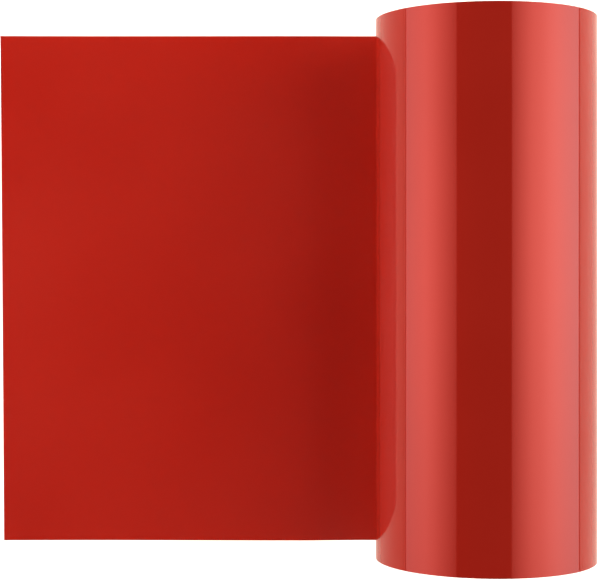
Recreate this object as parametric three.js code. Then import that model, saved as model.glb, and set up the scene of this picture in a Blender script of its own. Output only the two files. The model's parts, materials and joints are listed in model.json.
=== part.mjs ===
// A roll of self-adhesive sign vinyl on a paperboard core, lying on its side on a
// table with its free end run out flat to the left.
//
// Frame, in millimetres: +Y runs along the core, +Z is up, and the origin is the point
// on the table under the middle of the roll. The web leaves the roll there, at the
// bottom, and runs out along -X. The web is face film, adhesive and clear liner, wound
// face out, so the face film lies underneath where the web is flat.

import * as THREE from "three";

// Driving dimensions: the web and the core
const WEB_WIDTH = 304.8;
const FILM_THICKNESS = 0.075;
const ADHESIVE_THICKNESS = 0.02;
const LINER_THICKNESS = 0.036;
const CORE_BORE = 76.2;
const CORE_WALL = 6.35;
const CORE_PROUD = 0.5; // how far the core stands out of each side of the web
const ROLL_DIAMETER = 124.3;

// The core's plies, from the bore outwards
const INNER_PLY = 0.45;
const OUTER_PLY = 0.5;
const BODY_PLIES = 6;

// The flat web: where its stretches end, measured left from the roll's centre line
const TAKE_OFF_RIGHT = 5; // the flat web still lies under the roll's near side here
const TAKE_OFF_LEFT = 40;
const SHEET_LEFT = 225;
const PEEL_START = 251;
const FREE_LENGTH = 285;
const EDGE_SKEW = 2.2; // the hand-cut leading edge runs this far out of square
const PEEL_GAP = 0.3; // the cut in the liner where its tab starts to lift
const STRETCH_GAP = 0.3; // between neighbouring stretches of the web

// The tape that holds the first turn, and the label inside the core
const TAPE_THICKNESS = 0.1;
const TAPE_LENGTH = 290;
const TAPE_FACETS = 6;
const TAPE_START = 100; // degrees round the core
const LABEL_THICKNESS = 0.1;
const LABEL_LENGTH = 60;
const LABEL_FACETS = 14;
const LABEL_START = 235;
const LABEL_INSET = 12; // from the core's end to the label

const FACETS = 72; // round the whole roll
const FACET_DEGREES = 360 / FACETS;
const LAYER_GAP = 0.002; // between layers that touch on the real web
const PLY_GAP = 0.01;
const RUNNING_GAP = 0.1; // between the turning roll and the web under it

const WEB_THICKNESS = FILM_THICKNESS + ADHESIVE_THICKNESS + LINER_THICKNESS;
const ROLL_RADIUS = ROLL_DIAMETER / 2;
const BORE_RADIUS = CORE_BORE / 2;
const CORE_RADIUS = BORE_RADIUS + CORE_WALL;
const CORE_LENGTH = WEB_WIDTH + 2 * CORE_PROUD;
const CENTRE_HEIGHT = WEB_THICKNESS + RUNNING_GAP + ROLL_RADIUS;

const red = { color: 0xad1f14, roughness: 0.18, metalness: 0 };
const vinyl = new THREE.MeshStandardMaterial(red);
const woundVinyl = new THREE.MeshStandardMaterial({ ...red, roughness: 0.45 });
const adhesive = new THREE.MeshStandardMaterial({ color: 0xd9cfc0, roughness: 0.3, metalness: 0 });
const liner = new THREE.MeshStandardMaterial({
  color: 0xf2f4f5,
  roughness: 0.1,
  metalness: 0,
  transparent: true,
  opacity: 0.25,
});
const kraft = new THREE.MeshStandardMaterial({ color: 0xa9855c, roughness: 0.9, metalness: 0 });
const tape = new THREE.MeshStandardMaterial({ color: 0xe6ddc4, roughness: 0.5, metalness: 0 });
const paper = new THREE.MeshStandardMaterial({ color: 0xf3f1ea, roughness: 0.8, metalness: 0 });

function named(name, geometry, material) {
  const mesh = new THREE.Mesh(geometry, material);
  mesh.name = name;
  return mesh;
}

// A tube about the Y axis, centred on the origin.
function tube(innerRadius, outerRadius, length) {
  const end = length / 2;
  const profile = [
    new THREE.Vector2(innerRadius, -end),
    new THREE.Vector2(outerRadius, -end),
    new THREE.Vector2(outerRadius, end),
    new THREE.Vector2(innerRadius, end),
    new THREE.Vector2(innerRadius, -end),
  ];
  return new THREE.LatheGeometry(profile, FACETS);
}

// A strip curved about the Y axis, so many of the tube's facets wide, from y = 0 to y = -length.
function curvedStrip(innerRadius, outerRadius, startDegrees, facets, length) {
  const start = THREE.MathUtils.degToRad(startDegrees);
  const end = THREE.MathUtils.degToRad(startDegrees + facets * FACET_DEGREES);
  const section = new THREE.Shape();
  section.absarc(0, 0, outerRadius, start, end, false);
  section.absarc(0, 0, innerRadius, end, start, true);
  const options = { depth: length, bevelEnabled: false, curveSegments: facets / 2 };
  return new THREE.ExtrudeGeometry(section, options).rotateX(Math.PI / 2);
}

// A flat layer of web between two distances left of the centre line and two heights.
// skew moves its left edge out of square.
function flatLayer(right, left, bottom, top, skew = 0) {
  const side = WEB_WIDTH / 2;
  const outline = new THREE.Shape([
    new THREE.Vector2(-left + skew / 2, -side),
    new THREE.Vector2(-right, -side),
    new THREE.Vector2(-right, side),
    new THREE.Vector2(-left - skew / 2, side),
  ]);
  const geometry = new THREE.ExtrudeGeometry(outline, { depth: top - bottom, bevelEnabled: false });
  return geometry.translate(0, 0, bottom);
}

// Heights of the three layers of the flat web, as [bottom, top]
const filmLevels = [0, FILM_THICKNESS];
const adhesiveLevels = [FILM_THICKNESS + LAYER_GAP, FILM_THICKNESS + ADHESIVE_THICKNESS];
const linerLevels = [FILM_THICKNESS + ADHESIVE_THICKNESS + LAYER_GAP, WEB_THICKNESS];

function flatStretch(name, right, left, skew = 0) {
  const stretch = new THREE.Group();
  stretch.add(
    named(`${name}_film`, flatLayer(right, left, ...filmLevels, skew), vinyl),
    named(`${name}_adhesive`, flatLayer(right, left, ...adhesiveLevels, skew), adhesive),
  );
  return stretch;
}

// The spiral-wound paperboard core: a thin inner ply, six body plies and a smooth outer ply.
function core() {
  const group = new THREE.Group();
  const bodyPly = (CORE_WALL - INNER_PLY - OUTER_PLY) / BODY_PLIES;
  let radius = BORE_RADIUS;
  const addPly = (name, thickness) => {
    group.add(named(name, tube(radius, radius + thickness - PLY_GAP, CORE_LENGTH), kraft));
    radius += thickness;
  };
  addPly("core_inner_ply", INNER_PLY);
  for (let i = 1; i <= BODY_PLIES; i++) addPly(`core_body_ply_${i}`, bodyPly);
  addPly("core_outer_ply", OUTER_PLY);
  return group;
}

// Double-sided tape along the outside of the core, under the first turn of web.
function coreTape() {
  const inner = CORE_RADIUS;
  const strip = curvedStrip(inner, inner + TAPE_THICKNESS, TAPE_START, TAPE_FACETS, TAPE_LENGTH);
  const mesh = named("core_tape", strip, tape);
  mesh.position.y = TAPE_LENGTH / 2;
  return mesh;
}

// A paper label stuck inside the bore, near the core's far end.
function coreLabel() {
  const outer = BORE_RADIUS - PLY_GAP;
  const inner = outer - LABEL_THICKNESS;
  const strip = curvedStrip(inner, outer, LABEL_START, LABEL_FACETS, LABEL_LENGTH);
  const mesh = named("core_label", strip, paper);
  mesh.position.y = -CORE_LENGTH / 2 + LABEL_INSET + LABEL_LENGTH;
  return mesh;
}

// The wound web: all the inner turns as one tube, then the outermost turn layer by layer.
function windings() {
  const group = new THREE.Group();
  const filmInner = ROLL_RADIUS - FILM_THICKNESS;
  const adhesiveInner = filmInner - ADHESIVE_THICKNESS;
  const linerInner = adhesiveInner - LINER_THICKNESS;
  const innermost = CORE_RADIUS + TAPE_THICKNESS + PLY_GAP;
  group.add(
    named("wound_web", tube(innermost, linerInner - LAYER_GAP, WEB_WIDTH), woundVinyl),
    named("outer_turn_liner", tube(linerInner, adhesiveInner - LAYER_GAP, WEB_WIDTH), liner),
    named("outer_turn_adhesive", tube(adhesiveInner, filmInner - LAYER_GAP, WEB_WIDTH), adhesive),
    named("outer_turn_film", tube(filmInner, ROLL_RADIUS, WEB_WIDTH), vinyl),
  );
  return group;
}

function roll() {
  const group = new THREE.Group();
  group.add(core(), coreTape(), coreLabel(), windings());
  group.position.z = CENTRE_HEIGHT;
  return group;
}

// The stretch of web that lies under the roll, where it leaves it.
function takeOff() {
  const group = flatStretch("take_off", -TAKE_OFF_RIGHT, TAKE_OFF_LEFT);
  const layer = flatLayer(-TAKE_OFF_RIGHT, TAKE_OFF_LEFT, ...linerLevels);
  group.add(named("take_off_liner", layer, liner));
  return group;
}

// The free sheet beside the roll.
function sheet() {
  const right = TAKE_OFF_LEFT + STRETCH_GAP;
  const group = flatStretch("sheet", right, SHEET_LEFT);
  group.add(named("sheet_liner", flatLayer(right, SHEET_LEFT, ...linerLevels), liner));
  return group;
}

// The leading end of the sheet, whose liner has a tab at the cut edge that peels back.
function leadingEnd() {
  const right = SHEET_LEFT + STRETCH_GAP;
  const group = flatStretch("end", right, FREE_LENGTH, EDGE_SKEW);
  const layer = flatLayer(right, PEEL_START - PEEL_GAP, ...linerLevels);
  group.add(named("end_liner", layer, liner));
  return group;
}

function peelTab() {
  const layer = flatLayer(PEEL_START, FREE_LENGTH, ...linerLevels, EDGE_SKEW);
  return named("peel_liner", layer, liner);
}

const part = new THREE.Group();
part.add(roll(), takeOff(), sheet(), leadingEnd(), peelTab());

export default part;
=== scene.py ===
# %% [markdown]
# # A roll of sign vinyl
#
# This lesson dresses a roll of red self-adhesive sign vinyl that lies on its side with its
# free end run out flat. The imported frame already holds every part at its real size, so each
# step reads a size from it, makes the finer piece that takes a plain part's place, and lets
# the piece ride on the body that moves it. Lengths are in metres, +Z is up, and the roll's
# axis runs along Y.

# %% Load the frame
import json
import math

import bpy
import numpy as np
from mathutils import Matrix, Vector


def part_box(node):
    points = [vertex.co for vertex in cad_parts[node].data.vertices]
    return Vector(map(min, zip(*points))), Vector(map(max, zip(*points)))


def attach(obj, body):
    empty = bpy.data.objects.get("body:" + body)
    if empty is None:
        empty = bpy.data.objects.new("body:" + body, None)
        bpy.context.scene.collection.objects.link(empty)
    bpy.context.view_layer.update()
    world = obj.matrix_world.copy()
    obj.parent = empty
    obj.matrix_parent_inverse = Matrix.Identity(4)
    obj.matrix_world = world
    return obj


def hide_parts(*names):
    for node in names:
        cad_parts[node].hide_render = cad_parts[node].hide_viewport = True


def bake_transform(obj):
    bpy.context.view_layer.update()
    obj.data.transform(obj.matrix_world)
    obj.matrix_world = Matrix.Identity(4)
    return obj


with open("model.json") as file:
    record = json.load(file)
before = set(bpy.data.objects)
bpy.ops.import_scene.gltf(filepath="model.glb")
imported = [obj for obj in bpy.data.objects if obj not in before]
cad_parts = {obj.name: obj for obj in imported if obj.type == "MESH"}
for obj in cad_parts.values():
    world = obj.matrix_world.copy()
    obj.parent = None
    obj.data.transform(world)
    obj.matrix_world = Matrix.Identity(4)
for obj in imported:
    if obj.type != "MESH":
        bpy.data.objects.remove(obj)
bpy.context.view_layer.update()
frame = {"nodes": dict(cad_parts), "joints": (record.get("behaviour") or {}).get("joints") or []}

MM = 0.001
TURN = 2 * math.pi
print("parts in the frame:", len(frame["nodes"]))

# %% [markdown]
# ## The sizes that the frame gives
#
# A wound roll is a set of tubes about one axis, and the flat web is a stack of thin layers.
# The tubes' radii and the layers' heights could be typed in again, but then they could
# disagree with the frame. They are measured from the frame's own meshes instead.

# %% Measure the frame
film_low, film_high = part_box("outer_turn_film")
AXIS_HEIGHT = (film_low.z + film_high.z) / 2
HALF_WEB = film_high.y
HALF_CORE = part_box("core_outer_ply")[1].y


def radii(node):
    """The inner and outer radius of a tube of the frame."""
    corners = [v.co for v in frame["nodes"][node].data.vertices]
    reach = [math.hypot(co.x, co.z - AXIS_HEIGHT) for co in corners]
    return min(reach), max(reach)


def levels(node):
    """The bottom and top of a flat layer of the frame."""
    low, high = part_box(node)
    return low.z, high.z


joints = {joint["name"]: joint for joint in frame["joints"]}
ROLL_RADIUS = radii("outer_turn_film")[1]
FILM_LEVELS = levels("sheet_film")
ADHESIVE_LEVELS = levels("sheet_adhesive")
LINER_LEVELS = levels("sheet_liner")
WEB_THICKNESS = LINER_LEVELS[1]
TAKE_OFF_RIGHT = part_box("take_off_film")[1].x
LIFT_LINE = joints["sheet_lift"]["pos_m"][0]
PEEL_LINE = joints["liner_peel"]["pos_m"][0]
FREE_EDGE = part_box("end_film")[0].x
print("roll radius", round(ROLL_RADIUS, 5), "web", round(WEB_THICKNESS, 6), "free edge", FREE_EDGE)

# %% [markdown]
# ## The camera
#
# The roll is seen from straight above, from a little under a metre, with a long lens. The
# lens looks down a line that passes left of the roll, so the whole sheet fits in the view.
# A new camera already looks straight down with +Y up the picture, so it only needs its
# place, which is given in roll radii. A small vertical shift stands in for a lens that isn't
# quite over the middle.

# %% Place the camera
CAMERA_LEFT = 1.69
CAMERA_BACK = 0.119
CAMERA_HEIGHT = 15.55
camera_data = bpy.data.cameras.new("camera")
camera_data.lens = 95.85
camera_data.sensor_width = 36
camera_data.shift_y = -0.0235
camera_data.clip_start = 0.05
camera_data.clip_end = 100
camera = bpy.data.objects.new("camera", camera_data)
camera.location = (-CAMERA_LEFT * ROLL_RADIUS, CAMERA_BACK * ROLL_RADIUS, CAMERA_HEIGHT * ROLL_RADIUS)
bpy.context.scene.collection.objects.link(camera)
bpy.context.scene.camera = camera
bpy.context.scene.view_settings.view_transform = "Standard"
print("camera height", round(camera.location.z, 3))

# %% [markdown]
# ## Small helpers
#
# An operator acts on all that is selected, and the frame's parts are selected after loading.
# So each new piece starts from an empty selection. When a piece is finished, its place is applied to its
# mesh, it gets its name and material, and it may ride on a body.


# %% Helpers for making a piece
def clear_selection():
    """Leaves object mode with nothing selected."""
    if bpy.context.object and bpy.context.object.mode != "OBJECT":
        bpy.ops.object.mode_set(mode="OBJECT")
    bpy.ops.object.select_all(action="DESELECT")


def apply_place(piece):
    """Moves the object's place into its mesh, so that the object sits at the origin."""
    clear_selection()
    piece.select_set(True)
    bpy.context.view_layer.objects.active = piece
    bpy.ops.object.transform_apply(location=True, rotation=True, scale=True)


def apply_modifier(piece, kind, **settings):
    """Adds a modifier with these settings and applies it."""
    bpy.context.view_layer.objects.active = piece
    modifier = piece.modifiers.new(kind.title(), kind)
    for name, value in settings.items():
        setattr(modifier, name, value)
    bpy.ops.object.modifier_apply(modifier=modifier.name)


def clean_mesh(piece, distance=0.001 * MM):
    """Merges doubled points, drops loose edges and turns every face outwards."""
    clear_selection()
    piece.select_set(True)
    bpy.context.view_layer.objects.active = piece
    bpy.ops.object.mode_set(mode="EDIT")
    bpy.ops.mesh.select_all(action="SELECT")
    bpy.ops.mesh.remove_doubles(threshold=distance)
    bpy.ops.mesh.delete_loose()
    bpy.ops.mesh.select_all(action="SELECT")
    bpy.ops.mesh.normals_make_consistent(inside=False)
    bpy.ops.object.mode_set(mode="OBJECT")


def points_of(piece):
    """The piece's points, as an array with one row each."""
    co = np.zeros(len(piece.data.vertices) * 3)
    piece.data.vertices.foreach_get("co", co)
    return co.reshape(-1, 3)


def set_points(piece, co):
    piece.data.vertices.foreach_set("co", co.ravel())
    piece.data.update()


def smooth(piece, degrees=30):
    """Shades the piece smooth, with its true corners kept sharp."""
    clear_selection()
    piece.select_set(True)
    bpy.context.view_layer.objects.active = piece
    bpy.ops.object.shade_smooth_by_angle(angle=math.radians(degrees))


def finish_piece(piece, name, material, replaced=(), body=None):
    """Names a finished piece, gives it its material and lets it stand for parts of the frame."""
    piece.name = name
    piece.data.name = name
    piece.data.materials.clear()
    piece.data.materials.append(material)
    if replaced:
        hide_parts(*replaced)
    if body:
        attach(piece, body)
    print(name, len(piece.data.polygons), "faces")


print("helpers for pieces are ready")

# %% [markdown]
# ## Node helpers
#
# Every finish below is a small node tree. These helpers add a node, set its sockets and link
# it, so that each material reads as a short recipe.


# %% Helpers for materials
def new_material(name):
    """A material with a Principled shader, and its nodes, links and shader."""
    material = bpy.data.materials.new(name)
    material.use_nodes = True
    tree = material.node_tree
    return material, tree, tree.nodes["Principled BSDF"]


def add_node(tree, kind, **inputs):
    """Adds a node. Each input is a value, or a socket to link from."""
    node = tree.nodes.new(kind)
    for name, value in inputs.items():
        socket = node.inputs[name.replace("_", " ")]
        if isinstance(value, bpy.types.NodeSocket):
            tree.links.new(value, socket)
        else:
            socket.default_value = value
    return node


def place(tree, scale=(1, 1, 1)):
    """The piece's own coordinates in metres, stretched by scale."""
    coordinates = tree.nodes.new("ShaderNodeTexCoord")
    mapping = add_node(tree, "ShaderNodeMapping", Scale=scale)
    tree.links.new(coordinates.outputs["Object"], mapping.inputs["Vector"])
    return mapping.outputs["Vector"]


def noise(tree, vector, scale, detail=2.0):
    """A noise texture with so many lumps to the metre."""
    node = add_node(tree, "ShaderNodeTexNoise", Vector=vector, Scale=scale, Detail=detail)
    return node.outputs["Fac"]


def spread(tree, value, low, high, source=(0.35, 0.65)):
    """Maps a pattern's usual range onto low to high."""
    node = add_node(tree, "ShaderNodeMapRange", Value=value)
    for name, number in zip(("From Min", "From Max", "To Min", "To Max"), (*source, low, high)):
        node.inputs[name].default_value = number
    return node.outputs["Result"]


def blend_colours(tree, share, first, second):
    """Mixes two colours by a pattern."""
    node = tree.nodes.new("ShaderNodeMix")
    node.data_type = "RGBA"
    tree.links.new(share, node.inputs["Factor"])
    for socket, colour in zip([s for s in node.inputs if s.type == "RGBA"], (first, second)):
        socket.default_value = (*colour, 1)
    return next(s for s in node.outputs if s.type == "RGBA")


def calculate(tree, operation, *values):
    """A Math node. Each value is a number, or a socket to link from."""
    node = add_node(tree, "ShaderNodeMath")
    node.operation = operation
    for socket, value in zip(node.inputs, values):
        if isinstance(value, bpy.types.NodeSocket):
            tree.links.new(value, socket)
        else:
            socket.default_value = value
    return node.outputs["Value"]


def from_axis(tree):
    """How far a point is from the roll's axis."""
    axes = add_node(tree, "ShaderNodeSeparateXYZ", Vector=place(tree))
    across = calculate(tree, "POWER", axes.outputs["X"], 2)
    height = calculate(tree, "SUBTRACT", axes.outputs["Z"], AXIS_HEIGHT)
    up = calculate(tree, "POWER", height, 2)
    return calculate(tree, "SQRT", calculate(tree, "ADD", across, up))


def bump(tree, shader, height, distance, strength=1.0):
    """Raises the surface by a pattern, by up to distance."""
    node = add_node(tree, "ShaderNodeBump", Height=height, Strength=strength, Distance=distance)
    tree.links.new(node.outputs["Normal"], shader.inputs["Normal"])


print("helpers for materials are ready")

# %% [markdown]
# ## The red film
#
# Sign vinyl is a calendered PVC film with its colour all through it and a hard, even gloss.
# A mirror-sharp red would look like glass, so its roughness wanders a little in broad
# patches and in fine scuffs along the web, and a faint orange-peel bump breaks up the
# reflections. The reflection is tinted, because a strong red film colours what it mirrors.
#
# The free sheet shows the film's other face, through adhesive and liner. The adhesive wets it all over, so
# that face has hardly any gloss of its own, and all that shows of a clear adhesive on red film is red. So
# on the flat web the adhesive is given the red that it lets through. That red is also a little lighter than
# the roll's, and this is painted light: it stands in for the light that a white table close behind a single
# thickness adds.


# %% The red film and the adhesive on its back
RED_REFLECTION = (1, 0.2, 0.16, 1)
ADHESIVE_REFLECTION = (1, 0.7, 0.62, 1)
PATCHES_PER_METRE = 9
ALONG_THE_WEB = (60, 900, 60)
ORANGE_PEEL_PER_METRE = 420
ORANGE_PEEL_DEPTH = 0.004 * MM


def red_colour(tree, shader, share, deep, bright):
    """Gives the shader a red that varies from deep to bright."""
    colour = blend_colours(tree, spread(tree, share, 0, 1), deep, bright)
    tree.links.new(colour, shader.inputs["Base Color"])


def glossy_face(name, deep, bright):
    """The face that was polished as the film was made."""
    material, tree, shader = new_material(name)
    red_colour(tree, shader, noise(tree, place(tree), PATCHES_PER_METRE), deep, bright)
    scuffs = noise(tree, place(tree, ALONG_THE_WEB), 1, 3.0)
    tree.links.new(spread(tree, scuffs, 0.025, 0.05), shader.inputs["Roughness"])
    orange_peel = noise(tree, place(tree), ORANGE_PEEL_PER_METRE, 1.0)
    bump(tree, shader, orange_peel, ORANGE_PEEL_DEPTH, 0.35)
    shader.inputs["IOR"].default_value = 1.62
    shader.inputs["Specular Tint"].default_value = RED_REFLECTION
    return material


def adhesive_on_film(name, deep, bright):
    """The film's back, as it shows through its adhesive."""
    material, tree, shader = new_material(name)
    patches = noise(tree, place(tree), PATCHES_PER_METRE, 4.0)
    red_colour(tree, shader, patches, deep, bright)
    tree.links.new(spread(tree, patches, 0.32, 0.42), shader.inputs["Roughness"])
    shader.inputs["IOR"].default_value = 1.2
    shader.inputs["Specular Tint"].default_value = ADHESIVE_REFLECTION
    return material


red_film = glossy_face("red_film", (0.26, 0.0094, 0.0045), (0.275, 0.0108, 0.0055))
# The flat web's red is painted lighter than red_film's red: painted light, not a different film colour.
red_adhesive = adhesive_on_film("red_adhesive", (0.388, 0.0083, 0.0022), (0.416, 0.0103, 0.0031))
print("materials:", red_film.name, red_adhesive.name)

# %% [markdown]
# On the roll's two ends only the cut edges of the turns show. They are duller than the film's
# face. Each few turns were wound under a slightly different pull, so they catch the light
# a little differently, in rings.


# %% The wound turns' edges
RINGS_PER_METRE = 900
RING_SHARE = 0.75


def ring_pattern(tree):
    """A noise that changes only with the distance from the roll's axis."""
    node = tree.nodes.new("ShaderNodeTexNoise")
    node.noise_dimensions = "1D"
    tree.links.new(from_axis(tree), node.inputs["W"])
    node.inputs["Scale"].default_value = RINGS_PER_METRE
    node.inputs["Detail"].default_value = 3.0
    return node.outputs["Fac"]


def cut_edges(name, deep, bright):
    """The stacked edges of the turns, in rings of slightly different reds."""
    material, tree, shader = new_material(name)
    turns = ring_pattern(tree)
    patches = noise(tree, place(tree), 40)
    patchy = calculate(tree, "MULTIPLY", patches, 1 - RING_SHARE)
    share = calculate(tree, "MULTIPLY_ADD", turns, RING_SHARE, patchy)
    red_colour(tree, shader, share, deep, bright)
    tree.links.new(spread(tree, turns, 0.42, 0.26), shader.inputs["Roughness"])
    shader.inputs["Specular Tint"].default_value = RED_REFLECTION
    return material


wound_red = cut_edges("wound_red", (0.17, 0.006, 0.0035), (0.33, 0.014, 0.007))
wound_liner_red = cut_edges("wound_liner_red", (0.26, 0.025, 0.018), (0.44, 0.06, 0.048))
print("materials:", wound_red.name, wound_liner_red.name)

# %% [markdown]
# ## The clear layers
#
# The release liner is a clear film, and so is the adhesive under it. A glass shader on a film
# this thin costs much light and noise for a bend nobody can see. So each is a mirror that is
# mostly see-through. Its alpha is the share of light that its surface turns back: a few
# hundredths seen squarely, rising steeply towards a glancing view, by the fifth power that
# Schlick's rule gives. Both are satin, so a free sheet glows softly and mirrors nothing.


# %% The clear layers' material
GLANCING_SHARE = 0.18
GLANCE_POWER = 5
PATCH_TONE = 0.94


def clear_layer(name, square_on, roughness, tint, lumps):
    """A mirror that is mostly see-through. square_on is the share it turns back seen squarely."""
    material, tree, shader = new_material(name)
    glance = add_node(tree, "ShaderNodeLayerWeight", Blend=0.5)
    steep = calculate(tree, "POWER", glance.outputs["Facing"], GLANCE_POWER)
    share = spread(tree, steep, square_on, GLANCING_SHARE, (0, 1))
    tree.links.new(share, shader.inputs["Alpha"])
    patches = noise(tree, place(tree), lumps, 2.0)
    tree.links.new(spread(tree, patches, *roughness), shader.inputs["Roughness"])
    colour = blend_colours(tree, patches, tint, tuple(PATCH_TONE * c for c in tint))
    tree.links.new(colour, shader.inputs["Base Color"])
    shader.inputs["Metallic"].default_value = 1.0
    return material


liner_clear = clear_layer("liner_clear", 0.02, (0.28, 0.36), (1.0, 0.8, 0.75), 7)
adhesive_clear = clear_layer("adhesive_clear", 0.008, (0.22, 0.38), (1.0, 0.7, 0.62), 160)
print("materials:", liner_clear.name, adhesive_clear.name)

# %% [markdown]
# ## Board, tape and label
#
# The core is grey-brown board with short fibres that lie along each ply. A noise stretched
# one way gives the fibres, and a fine speckle gives the darker flecks of recycled stock. The
# plies come from different reels, so their browns differ, and where two plies meet the glue
# leaves a thin dark line on the core's end.


# %% The paper materials
FIRST_PLY_RADIUS = radii("core_body_ply_1")[0]
BODY_PLY = radii("core_body_ply_2")[0] - FIRST_PLY_RADIUS
GLUE_WIDTH = 0.12 * BODY_PLY
FLECKS_PER_METRE = 1400
FLECK_SHARE = 0.45
FIBRE_DEPTH = 0.05 * MM


def board(name, dark, light, fibre_scale, glue=False):
    """Fibrous paper. glue darkens it where one body ply meets the next."""
    material, tree, shader = new_material(name)
    fibres = noise(tree, place(tree, fibre_scale), 1, 4.0)
    flecks = noise(tree, place(tree), FLECKS_PER_METRE, 2.0)
    mixed = calculate(tree, "MULTIPLY_ADD", flecks, FLECK_SHARE, fibres)
    share = spread(tree, mixed, 0, 1, (0.55, 0.9))
    if glue:
        depth = calculate(tree, "SUBTRACT", from_axis(tree), FIRST_PLY_RADIUS)
        through = calculate(tree, "PINGPONG", depth, BODY_PLY / 2)
        unglued = spread(tree, through, 0.1, 1, (0, GLUE_WIDTH))
        share = calculate(tree, "MULTIPLY", share, unglued)
    tree.links.new(blend_colours(tree, share, dark, light), shader.inputs["Base Color"])
    tree.links.new(spread(tree, flecks, 0.82, 0.95), shader.inputs["Roughness"])
    bump(tree, shader, mixed, FIBRE_DEPTH, 0.6)
    return material


BOARD_FIBRES = (700, 120, 700)
body_boards = [
    board("core_board", (0.17, 0.105, 0.052), (0.42, 0.28, 0.16), BOARD_FIBRES, glue=True),
    board("core_board_grey", (0.15, 0.1, 0.058), (0.34, 0.24, 0.15), BOARD_FIBRES, glue=True),
]
core_liner_paper = board("core_liner_paper", (0.3, 0.19, 0.1), (0.47, 0.33, 0.2), (900, 160, 900))
label_paper = board("label_paper", (0.66, 0.65, 0.61), (0.8, 0.79, 0.76), (300, 300, 300))
tape_film = board("tape_film", (0.55, 0.47, 0.3), (0.68, 0.6, 0.42), (60, 600, 60))
print("body ply thickness", round(BODY_PLY, 6))

# %% [markdown]
# ## The wound turns
#
# The roll is one long web wound about 133 times round the core, with the film outside and
# the liner inside. A solid ring would look right from a distance, but a true spiral shows the
# hair-thin lines of its turns on both ends. A flat curve with one point every 3.75 degrees
# gives the spiral, its extrude gives the ribbon's width, and Solidify gives its thickness. The
# ribbon's edges then wander by a tenth of a millimetre or two, as slit and rewound film does.

# %% The spiral's sizes
STEPS_PER_TURN = 96
INNERMOST, OUTERMOST = radii("wound_web")
SPARE_TURN = 0.02
TURNS = (OUTERMOST - INNERMOST) / WEB_THICKNESS - SPARE_TURN
print("turns on the roll:", round(TURNS, 1))


# %% Wind a ribbon
SLOW_WANDER = 0.1 * MM
QUICK_WANDER = 0.08 * MM


def scatter(number):
    """The same number from 0 to 1 each time for a whole number, with no pattern to it."""
    large = np.sin(12.9898 * number) * 43758.5453
    return large - np.floor(large)


def edge_wander(turn):
    """How far a turn's edge stands out of line: slowly over many turns, and from turn to turn."""
    slow = np.sin(0.21 * turn + 0.6) + 0.6 * np.sin(0.083 * turn)
    return SLOW_WANDER * slow + QUICK_WANDER * (scatter(np.floor(turn)) - 0.5)


def wind_ribbon(depth, thickness):
    """A spiral ribbon whose middle lies depth under the outer face of its turn."""
    count = int(TURNS * STEPS_PER_TURN) + 1
    turn = np.arange(count) / STEPS_PER_TURN
    radius = OUTERMOST - depth - turn * WEB_THICKNESS
    angle = turn * TURN - TURN / 4
    curve = bpy.data.curves.new("ribbon", "CURVE")
    curve.dimensions = "2D"
    curve.extrude = HALF_WEB
    spline = curve.splines.new("POLY")
    spline.points.add(count - 1)
    points = np.column_stack((radius * np.cos(angle), radius * np.sin(angle), 0 * turn, 0 * turn + 1))
    spline.points.foreach_set("co", points.ravel())
    ribbon = bpy.data.objects.new("ribbon", curve)
    bpy.context.scene.collection.objects.link(ribbon)
    clear_selection()
    ribbon.select_set(True)
    bpy.context.view_layer.objects.active = ribbon
    bpy.ops.object.convert(target="MESH")
    ribbon = bpy.context.object
    ribbon.rotation_euler = (math.pi / 2, 0, 0)
    ribbon.location.z = AXIS_HEIGHT
    apply_place(ribbon)
    apply_modifier(ribbon, "SOLIDIFY", thickness=thickness, offset=0)
    return ribbon


def wander_edges(ribbon):
    """Moves each point along the axis by its turn's wander."""
    co = points_of(ribbon)
    reach = np.hypot(co[:, 0], co[:, 2] - AXIS_HEIGHT)
    turn = (OUTERMOST - reach) / WEB_THICKNESS
    co[:, 1] += edge_wander(turn)
    set_points(ribbon, co)


FILM_THICKNESS = FILM_LEVELS[1] - FILM_LEVELS[0]
LINER_THICKNESS = LINER_LEVELS[1] - LINER_LEVELS[0]
wound_film = wind_ribbon(FILM_THICKNESS / 2, FILM_THICKNESS)
wound_liner = wind_ribbon(WEB_THICKNESS - LINER_THICKNESS / 2, LINER_THICKNESS)
for ribbon in (wound_film, wound_liner):
    wander_edges(ribbon)
    clean_mesh(ribbon)
finish_piece(wound_film, "wound_film", wound_red, ["wound_web"], "roll")
finish_piece(wound_liner, "wound_liner", wound_liner_red, body="roll")

# %% [markdown]
# ## The outermost turn
#
# This is the face that everyone sees: one smooth, glossy wrap. A cylinder as round as it looks
# needs many sides, because the reflections of a light tent show every facet. Real film is
# never quite even on the roll, so the wrap swells and sinks by a few hundredths of a
# millimetre, which is just enough to make the reflected edges wander.


# %% Make the smooth wraps
SWELL_SIZE = 0.011 * MM
DEEPEST_WAVE = 2.1


def swell(angle, y):
    """How far the wrap stands off the true circle, never below it."""
    along = y / HALF_WEB
    wave = np.sin(9 * angle + 1.3 * along + 0.4) * np.cos(2.1 * along)
    wave += 0.6 * np.sin(14 * angle - 2.2 * along + 2.0)
    wave += 0.5 * np.sin(5 * angle + 3.7 * along * along)
    return SWELL_SIZE * (wave + DEEPEST_WAVE)


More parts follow.
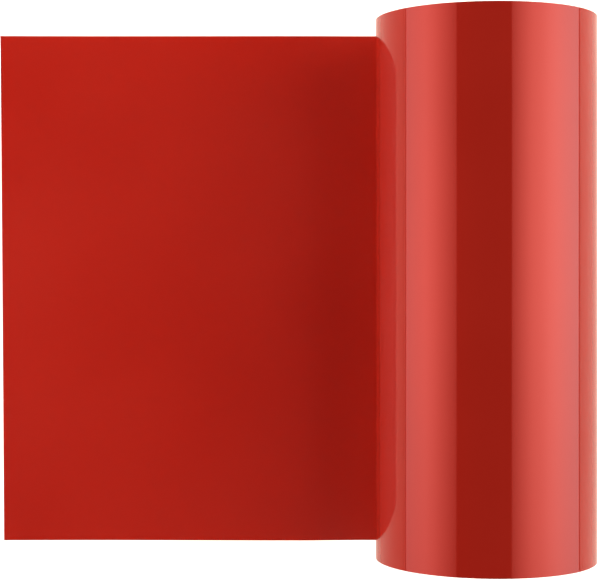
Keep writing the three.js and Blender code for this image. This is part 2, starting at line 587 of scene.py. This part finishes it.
def wrap(outer, inner, sides=288, rings=48):
    """A thin-walled tube about the roll's axis."""
    clear_selection()
    bpy.ops.mesh.primitive_cylinder_add(
        vertices=sides,
        radius=outer,
        depth=2 * HALF_WEB,
        end_fill_type="NOTHING",
        location=(0, 0, AXIS_HEIGHT),
        rotation=(math.pi / 2, 0, 0),
    )
    tube = bpy.context.object
    apply_place(tube)
    bpy.context.tool_settings.mesh_select_mode = (False, True, False)
    bpy.ops.object.mode_set(mode="EDIT")
    bpy.ops.mesh.select_all(action="DESELECT")
    bpy.ops.object.mode_set(mode="OBJECT")
    co = points_of(tube)
    for edge in tube.data.edges:
        first, second = edge.vertices
        edge.select = bool(abs(co[first, 1] - co[second, 1]) > HALF_WEB)
    bpy.ops.object.mode_set(mode="EDIT")
    bpy.ops.mesh.subdivide(number_cuts=rings)
    bpy.ops.object.mode_set(mode="OBJECT")
    bpy.context.tool_settings.mesh_select_mode = (True, False, False)
    co = points_of(tube)
    angle = np.arctan2(co[:, 2] - AXIS_HEIGHT, co[:, 0])
    reach = outer + swell(angle, co[:, 1])
    co[:, 0] = reach * np.cos(angle)
    co[:, 2] = AXIS_HEIGHT + reach * np.sin(angle)
    set_points(tube, co)
    apply_modifier(tube, "SOLIDIFY", thickness=outer - inner, offset=-1)
    return tube


OUTER_LAYERS = {
    "outer_turn_film": ("outer_film", red_film, "red_vinyl", 48),
    "outer_turn_adhesive": ("outer_adhesive", adhesive_clear, "adhesive", 12),
    "outer_turn_liner": ("outer_liner", liner_clear, "clear_liner", 12),
}
for node, (name, material, slot, rings) in OUTER_LAYERS.items():
    inner, outer = radii(node)
    layer = wrap(outer, inner, rings=rings)
    clean_mesh(layer)
    smooth(layer)
    finish_piece(layer, name, material, [node], "roll")

# %% [markdown]
# ## The core
#
# A paper core is made of strips of board, wound at a slant and glued one over the other, each
# with its seam in a new place. A plain tube would miss the slanted seam that shows inside
# the bore and the fine rings on the ends. One strip's edge is a short line along the axis, and
# a Screw modifier winds it into a helix, a little longer than the core. Bisect then cuts it
# off square at both ends, as the maker's saw does, and Solidify gives the board its thickness.

# %% The strip's sizes
STRIP_PITCH = 147 * MM
SEAM_GAP = 0.12 * MM
PLIES = ["core_inner_ply", *(f"core_body_ply_{i}" for i in range(1, 7)), "core_outer_ply"]
PLY_STEPS = 120
FIRST_SEAM = 0.7
SEAM_STEP = 2.4
print("a strip goes round", round(2 * HALF_CORE / STRIP_PITCH, 2), "times")


# %% Wind the plies
def wind_ply(inner, outer, start):
    """A helical strip of board from one end of the core to the other, from an angle in radians."""
    turns = math.ceil(2 * HALF_CORE / STRIP_PITCH) + 2
    clear_selection()
    bpy.ops.mesh.primitive_plane_add(size=1, location=(0, 0, 0))
    strip = bpy.context.object
    bpy.ops.object.mode_set(mode="EDIT")
    bpy.ops.mesh.delete(type="ONLY_FACE")
    bpy.ops.mesh.select_all(action="DESELECT")
    bpy.ops.object.mode_set(mode="OBJECT")
    for vertex in strip.data.vertices:
        vertex.select = vertex.co.x > 0
    bpy.ops.object.mode_set(mode="EDIT")
    bpy.ops.mesh.delete(type="VERT")
    bpy.ops.object.mode_set(mode="OBJECT")
    half = (STRIP_PITCH - SEAM_GAP) / 2
    co = points_of(strip)
    co[:, 0] = inner
    co[:, 2] = np.where(co[:, 1] > 0, half, -half)
    co[:, 1] = 0
    set_points(strip, co)
    apply_modifier(
        strip,
        "SCREW",
        axis="Z",
        angle=TURN,
        screw_offset=STRIP_PITCH,
        iterations=turns,
        steps=PLY_STEPS,
        render_steps=PLY_STEPS,
        use_merge_vertices=False,
    )
    strip.rotation_euler = (math.pi / 2, start, 0)
    strip.location = (0, turns * STRIP_PITCH / 2, AXIS_HEIGHT)
    apply_place(strip)
    clean_mesh(strip)
    cut_ends(strip)
    face_from_axis(strip)
    apply_modifier(strip, "SOLIDIFY", thickness=outer - inner, offset=1)
    return strip


def cut_ends(strip):
    """Cuts the strip off square at both ends of the core."""
    clear_selection()
    strip.select_set(True)
    bpy.context.view_layer.objects.active = strip
    bpy.ops.object.mode_set(mode="EDIT")
    for end in (-1, 1):
        bpy.ops.mesh.select_all(action="SELECT")
        bpy.ops.mesh.bisect(plane_co=(0, end * HALF_CORE, 0), plane_no=(0, end, 0), clear_outer=True)
    bpy.ops.object.mode_set(mode="OBJECT")


def face_from_axis(strip):
    """Turns an open strip's faces away from the roll's axis."""
    face = max(strip.data.polygons, key=lambda f: f.area)
    outwards = face.center.x * face.normal.x + (face.center.z - AXIS_HEIGHT) * face.normal.z
    if outwards < 0:
        strip.data.flip_normals()


for number, node in enumerate(PLIES):
    inner, outer = radii(node)
    ply = wind_ply(inner, outer, FIRST_SEAM + SEAM_STEP * number)
    smooth(ply)
    paper = core_liner_paper if node in (PLIES[0], PLIES[-1]) else body_boards[number % 2]
    finish_piece(ply, node.replace("core_", "core_strip_"), paper, [node], "roll")

# %% [markdown]
# ## The label and the tape
#
# The label is a small paper sheet pressed into the bore, so it takes the bore's curve and one
# corner has started to lift. A flat grid is easy to make with rounded corners, and bending it
# into the bore is one line of trigonometry. The tape is hidden under the first turn, so the
# frame's own part only needs its finish.

# %% Make the label
LABEL_RADIUS = radii("core_label")[1] - 0.02 * MM
LABEL_THICKNESS = 0.1 * MM
LABEL_ARC = math.radians(70)
SQUARENESS = 14
CORNER_LIFT = 2.2 * MM
LIFTED_FROM = 1.3
label_low, label_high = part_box("core_label")


def round_corners(co):
    """Draws the square's outline in to one with rounded corners."""
    away = np.abs(co[:, :2])
    square = away.max(axis=1)
    rounded = (away**SQUARENESS).sum(axis=1) ** (1 / SQUARENESS)
    co[:, :2] *= (square / np.maximum(rounded, 1e-9))[:, None]
    return co


def bend_label():
    """A grid with rounded corners, pressed against the bore, with one corner lifting."""
    clear_selection()
    bpy.ops.mesh.primitive_grid_add(x_subdivisions=48, y_subdivisions=40, size=2)
    label = bpy.context.object
    co = round_corners(points_of(label))
    middle = (label_low + label_high) / 2
    half_length = (label_high.y - label_low.y) / 2
    angle = math.atan2(label_low.z - AXIS_HEIGHT, middle.x) + LABEL_ARC / 2 * co[:, 0]
    lift = CORNER_LIFT * np.clip(co[:, 0] + co[:, 1] - LIFTED_FROM, 0, 1) ** 2
    radius = LABEL_RADIUS - lift
    height = AXIS_HEIGHT + radius * np.sin(angle)
    along = middle.y + half_length * co[:, 1]
    set_points(label, np.column_stack((radius * np.cos(angle), along, height)))
    return label


label = bend_label()
clean_mesh(label)
face_from_axis(label)
label.data.flip_normals()
apply_modifier(label, "SOLIDIFY", thickness=LABEL_THICKNESS, offset=1)
smooth(label)
finish_piece(label, "core_label_paper", label_paper, ["core_label"], "roll")
tape = frame["nodes"]["core_tape"]
tape.data.materials.clear()
tape.data.materials.append(tape_film)

# %% [markdown]
# ## The flat web
#
# The free web lies on the table, face film down, adhesive over it and clear liner on top. Each
# layer is a grid of its true length, given its thickness by Solidify. The web keeps a trace of
# the curl it had on the roll, so its cut edge and corners stand a few tenths of a millimetre
# off the table. Beside the roll it has sprung up in a low wave of a millimetre or two, which
# darkens the slope that faces the roll. All the layers take the same rise, so they stay
# together.
#
# Lifting the sheet bends it beside the roll, and drawing it out lengthens it further along.
# A piece can bend at only one joint, so each layer is made in a near and a far length.


# %% The flat web's sizes
end_points = [v.co for v in frame["nodes"]["end_film"].data.vertices]
cut_edge_x = [co.x for co in end_points if co.x < PEEL_LINE]
SKEW_SQUARE = (min(cut_edge_x) + max(cut_edge_x)) / 2
SKEW_LENGTH = 30 * MM
GRID_STEP = 2 * MM
GRID_ROWS = 60
WAVE_START = -0.24
WAVE_CREST = -0.104
WAVE_END = -0.066
WAVE_HEIGHT = 1.2 * MM
WAVE_SLANT = 0.6 * MM
RIPPLE_HEIGHT = 0.05 * MM
RIPPLE_START = 0.08
CURL_START = -0.2
CURL_HEIGHT = 0.35 * MM
CORNER_CURL = 1.4
print("the cut edge, squared:", round(SKEW_SQUARE, 5))


# %% Shape one layer of the flat web
def ease(share):
    """Goes smoothly from 0 to 1."""
    share = np.clip(share, 0, 1)
    return share * share * (3 - 2 * share)


def wave(x, y):
    """A long slope up to a crest and a short one down to the roll, higher at the near side."""
    height = WAVE_HEIGHT - WAVE_SLANT * y / HALF_WEB
    climb = ease((x - WAVE_START) / (WAVE_CREST - WAVE_START))
    return height * climb * ease((WAVE_END - x) / (WAVE_END - WAVE_CREST))


def rise(x, y):
    """The web's height over the table at a place."""
    towards_edge = np.clip((x - CURL_START) / (SKEW_SQUARE - CURL_START), 0, None)
    corners = 1 + CORNER_CURL * np.abs(y / HALF_WEB) ** 3
    curl = CURL_HEIGHT * towards_edge**2.2 * corners
    ripple = RIPPLE_HEIGHT * np.clip(-x / RIPPLE_START, 0, 1) * (1 + np.sin(23 * x + 9 * y))
    return curl + ripple + wave(x, y)


def skewed(x, y, end):
    """Moves the last stretch before the cut edge out of square, as the frame's is."""
    slant = (FREE_EDGE - SKEW_SQUARE) / HALF_WEB
    near_end = np.clip((end + SKEW_LENGTH - x) / SKEW_LENGTH, 0, 1)
    return x + near_end * slant * y


def web_layer(right, left, heights, cut_edge=False):
    """A flat layer from right to left between two heights. cut_edge slants its left end."""
    columns = round((right - left) / GRID_STEP)
    clear_selection()
    bpy.ops.mesh.primitive_grid_add(x_subdivisions=columns, y_subdivisions=GRID_ROWS, size=1)
    layer = bpy.context.object
    layer.scale = (right - left, 2 * HALF_WEB, 1)
    layer.location = ((right + left) / 2, 0, heights[0])
    apply_place(layer)
    apply_modifier(layer, "SOLIDIFY", thickness=heights[1] - heights[0], offset=1)
    co = points_of(layer)
    if cut_edge:
        co[:, 0] = skewed(co[:, 0], co[:, 1], left)
    co[:, 2] += rise(co[:, 0], co[:, 1])
    set_points(layer, co)
    smooth(layer)
    return layer


# %% [markdown]
# ## The near and far lengths
#
# The near length holds still under the roll and turns with the lifted sheet. The far length lies between
# the sheet and its leading end, and stretches as fresh web is paid out. Here both are made as flat layers,
# on no body.

# %% Make the near and far lengths
LIFT_BEND = 38 * MM
PAST_BEND = 4 * MM
SPLIT = LIFT_LINE - LIFT_BEND - PAST_BEND
LAYERS = {
    "film": (FILM_LEVELS, red_film, "red_vinyl"),
    "adhesive": (ADHESIVE_LEVELS, red_adhesive, "adhesive"),
    "liner": (LINER_LEVELS, liner_clear, "clear_liner"),
}


for layer_name, (heights, material, slot) in LAYERS.items():
    near = web_layer(TAKE_OFF_RIGHT, SPLIT, heights)
    finish_piece(near, f"near_{layer_name}", material, [f"take_off_{layer_name}"])
    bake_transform(near)
    end = PEEL_LINE if layer_name == "liner" else SKEW_SQUARE
    far = web_layer(SPLIT, end, heights, layer_name != "liner")
    replaced = [f"sheet_{layer_name}", f"end_{layer_name}"]
    finish_piece(far, f"far_{layer_name}", material, replaced)
    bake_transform(far)

# %% [markdown]
# ## The liner's tab
#
# At the cut edge the liner comes away from the adhesive, which is how the film is readied for use. The tab
# lies flat at rest and curls back over the sheet when it is peeled. Here it is made flat.

# %% Make the tab
tab = web_layer(PEEL_LINE, SKEW_SQUARE, LINER_LEVELS, True)
finish_piece(tab, "peel_tab", liner_clear, ["peel_liner"])
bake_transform(tab)

# %% [markdown]
# ## The table and the light tent
#
# Glossy film shows the room it stands in, so the room is part of its look. The roll lies on a
# white table in a light tent: an arch of pale cloth over the table, lit from both sides, with
# a dark gap overhead where the camera stands. The table appears twice, in the same place. The
# one that the camera sees glows a little, so that it stays white. The one that the film
# mirrors, and that throws light back on it, ends where a real table would.

# %% Lay the table
TABLE_LEFT = -0.82
TABLE_RIGHT = 0.43
TABLE_HALF = 1.2
UNDER_WEB = 0.02 * MM


def table_top(name, right, left, half_length, colour, glow_colour, glow):
    """A flat top from right to left, just under the web, that glows a little."""
    clear_selection()
    bpy.ops.mesh.primitive_plane_add(size=1)
    top = bpy.context.object
    top.name = name
    top.scale = (right - left, 2 * half_length, 1)
    top.location = ((right + left) / 2, 0, -UNDER_WEB)
    apply_place(top)
    material, _, shader = new_material(name)
    shader.inputs["Base Color"].default_value = (*colour, 1)
    shader.inputs["Roughness"].default_value = 0.8
    shader.inputs["Emission Color"].default_value = (*glow_colour, 1)
    shader.inputs["Emission Strength"].default_value = glow
    top.data.materials.append(material)
    return top


SHOWN_REACH = 12
SHOWN_GREY = (0.3, 0.3, 0.3)
shown_table = table_top("shown_table", SHOWN_REACH, -SHOWN_REACH, SHOWN_REACH, SHOWN_GREY, SHOWN_GREY, 2.45)
shown_table.visible_diffuse = False
shown_table.visible_glossy = False
CLOTH_COLOUR = (0.85, 0.74, 0.62)
CLOTH_GLOW = (0.95, 0.5, 0.4)
lit_table = table_top("lit_table", TABLE_RIGHT, TABLE_LEFT, TABLE_HALF, CLOTH_COLOUR, CLOTH_GLOW, 0.45)
lit_table.visible_camera = False
print("tables:", shown_table.name, lit_table.name)

# %% [markdown]
# The tent's glow follows the angle round the arch, measured from straight up, so one colour
# ramp sets where each lit side starts and how it fades. It also fades towards the tent's two
# ends. There are two arches: the film mirrors the brighter one, and the other lights the
# colours. Real lamps do both at once, but two arches let each be set by itself.

# %% The tent's sizes and glow
TENT_RADIUS = 1.5
TENT_HALF_LENGTH = 1.0
TENT_LIMIT = 100
RIGHT_REDNESS = 0.92
MIRRORED_GLOW = [
    (-100, 2.6),
    (-84, 4.6),
    (-70, 6.1),
    (-60, 5.6),
    (-45, 3.4),
    (-36, 1.7),
    (-35.2, 0.15),
    (19.0, 0.15),
    (19.8, 2.1),
    (29, 4.5),
    (41, 7.0),
    (60, 8.2),
    (70, 7.6),
    (89, 4.5),
    (100, 3.0),
]
LIGHTING_GLOW = [
    (-100, 9.0),
    (-60, 5.6),
    (-38, 1.6),
    (-36, 0.15),
    (21, 0.15),
    (24, 2.2),
    (60, 5.3),
    (100, 12.5),
]
print("brightest reflection:", max(strength for _, strength in MIRRORED_GLOW))


# %% Raise the tent
def tent_material(name, glow, middle):
    """A glow that follows the angle round the arch and fades towards its ends."""
    material = bpy.data.materials.new(name)
    material.use_nodes = True
    tree = material.node_tree
    tree.nodes.clear()
    coordinates = tree.nodes.new("ShaderNodeTexCoord")
    axes = add_node(tree, "ShaderNodeSeparateXYZ", Vector=coordinates.outputs["Object"])
    height = calculate(tree, "SUBTRACT", axes.outputs["Z"], AXIS_HEIGHT)
    angle = calculate(tree, "ARCTAN2", axes.outputs["X"], height)
    limit = math.radians(TENT_LIMIT)
    ramp = tree.nodes.new("ShaderNodeValToRGB")
    tree.links.new(spread(tree, angle, 0, 1, (-limit, limit)), ramp.inputs["Fac"])
    brightest = max(strength for _, strength in glow)
    elements = ramp.color_ramp.elements
    while len(elements) < len(glow):
        elements.new(0.5)
    for element, (degrees, strength) in zip(elements, glow):
        element.position = (degrees + TENT_LIMIT) / (2 * TENT_LIMIT)
        share = strength / brightest
        red = RIGHT_REDNESS * share if degrees > 0 else share
        element.color = (red, share, share, 1)
    along = calculate(tree, "SUBTRACT", axes.outputs["Y"], middle)
    from_middle = calculate(tree, "ABSOLUTE", along)
    fade = calculate(tree, "SUBTRACT", 1, calculate(tree, "POWER", from_middle, 2))
    strength = calculate(tree, "MULTIPLY", fade, brightest)
    light = add_node(tree, "ShaderNodeEmission", Color=ramp.outputs["Color"], Strength=strength)
    output = tree.nodes.new("ShaderNodeOutputMaterial")
    tree.links.new(light.outputs["Emission"], output.inputs["Surface"])
    return material


def raise_tent(name, glow, middle):
    """One arch, which the camera never sees."""
    clear_selection()
    bpy.ops.mesh.primitive_cylinder_add(
        vertices=128,
        radius=TENT_RADIUS,
        depth=2 * TENT_HALF_LENGTH,
        end_fill_type="NOTHING",
        location=(0, middle, AXIS_HEIGHT),
        rotation=(math.pi / 2, 0, 0),
    )
    tent = bpy.context.object
    tent.name = name
    apply_place(tent)
    tent.data.materials.append(tent_material(name, glow, middle))
    tent.visible_camera = False
    tent.visible_transmission = False
    return tent


mirrored_tent = raise_tent("mirrored_tent", MIRRORED_GLOW, 0.1)
mirrored_tent.visible_diffuse = False
mirrored_tent.visible_shadow = False
lighting_tent = raise_tent("lighting_tent", LIGHTING_GLOW, 0.4)
lighting_tent.visible_glossy = False
print("tents:", mirrored_tent.name, lighting_tent.name)

# %% [markdown]
# The narrow dark gap between the table's end and the tent's wall shows in the film as a thin dark streak. A
# second thin dark streak, further in on the left, is painted shade. A slim dark strip stands in for each.

# %% Stand up the dark strips
dark_gap, _, dark_shader = new_material("dark_gap")
dark_shader.inputs["Base Color"].default_value = (0.01, 0.01, 0.01, 1)
dark_shader.inputs["Roughness"].default_value = 1.0
GAP_THICKNESS = 0.002
GAP_LENGTH = 3
GAPS = {
    "left_gap": (TABLE_LEFT, 0.016),
    # This strip is a dark thing where there is only shade: painted shade, seen in the film's reflection.
    "painted_shade_streak": (-0.58, 0.005),
    "right_gap": (TABLE_RIGHT, 0.011),
}
for name, (x, height) in GAPS.items():
    clear_selection()
    bpy.ops.mesh.primitive_cube_add(size=1, location=(x, 0, height / 2))
    strip = bpy.context.object
    strip.name = name
    strip.scale = (GAP_THICKNESS, GAP_LENGTH, height)
    apply_place(strip)
    strip.data.materials.append(dark_gap)
    strip.visible_camera = False
    strip.visible_diffuse = False
    strip.visible_shadow = False
print("dark strips:", len(GAPS))

# %% Fill in the room beyond the tent
world = bpy.data.worlds.new("studio")
bpy.context.scene.world = world
world.use_nodes = True
background = world.node_tree.nodes["Background"]
background.inputs["Color"].default_value = (1, 1, 1, 1)
background.inputs["Strength"].default_value = 0.8
print("room light", background.inputs["Strength"].default_value)
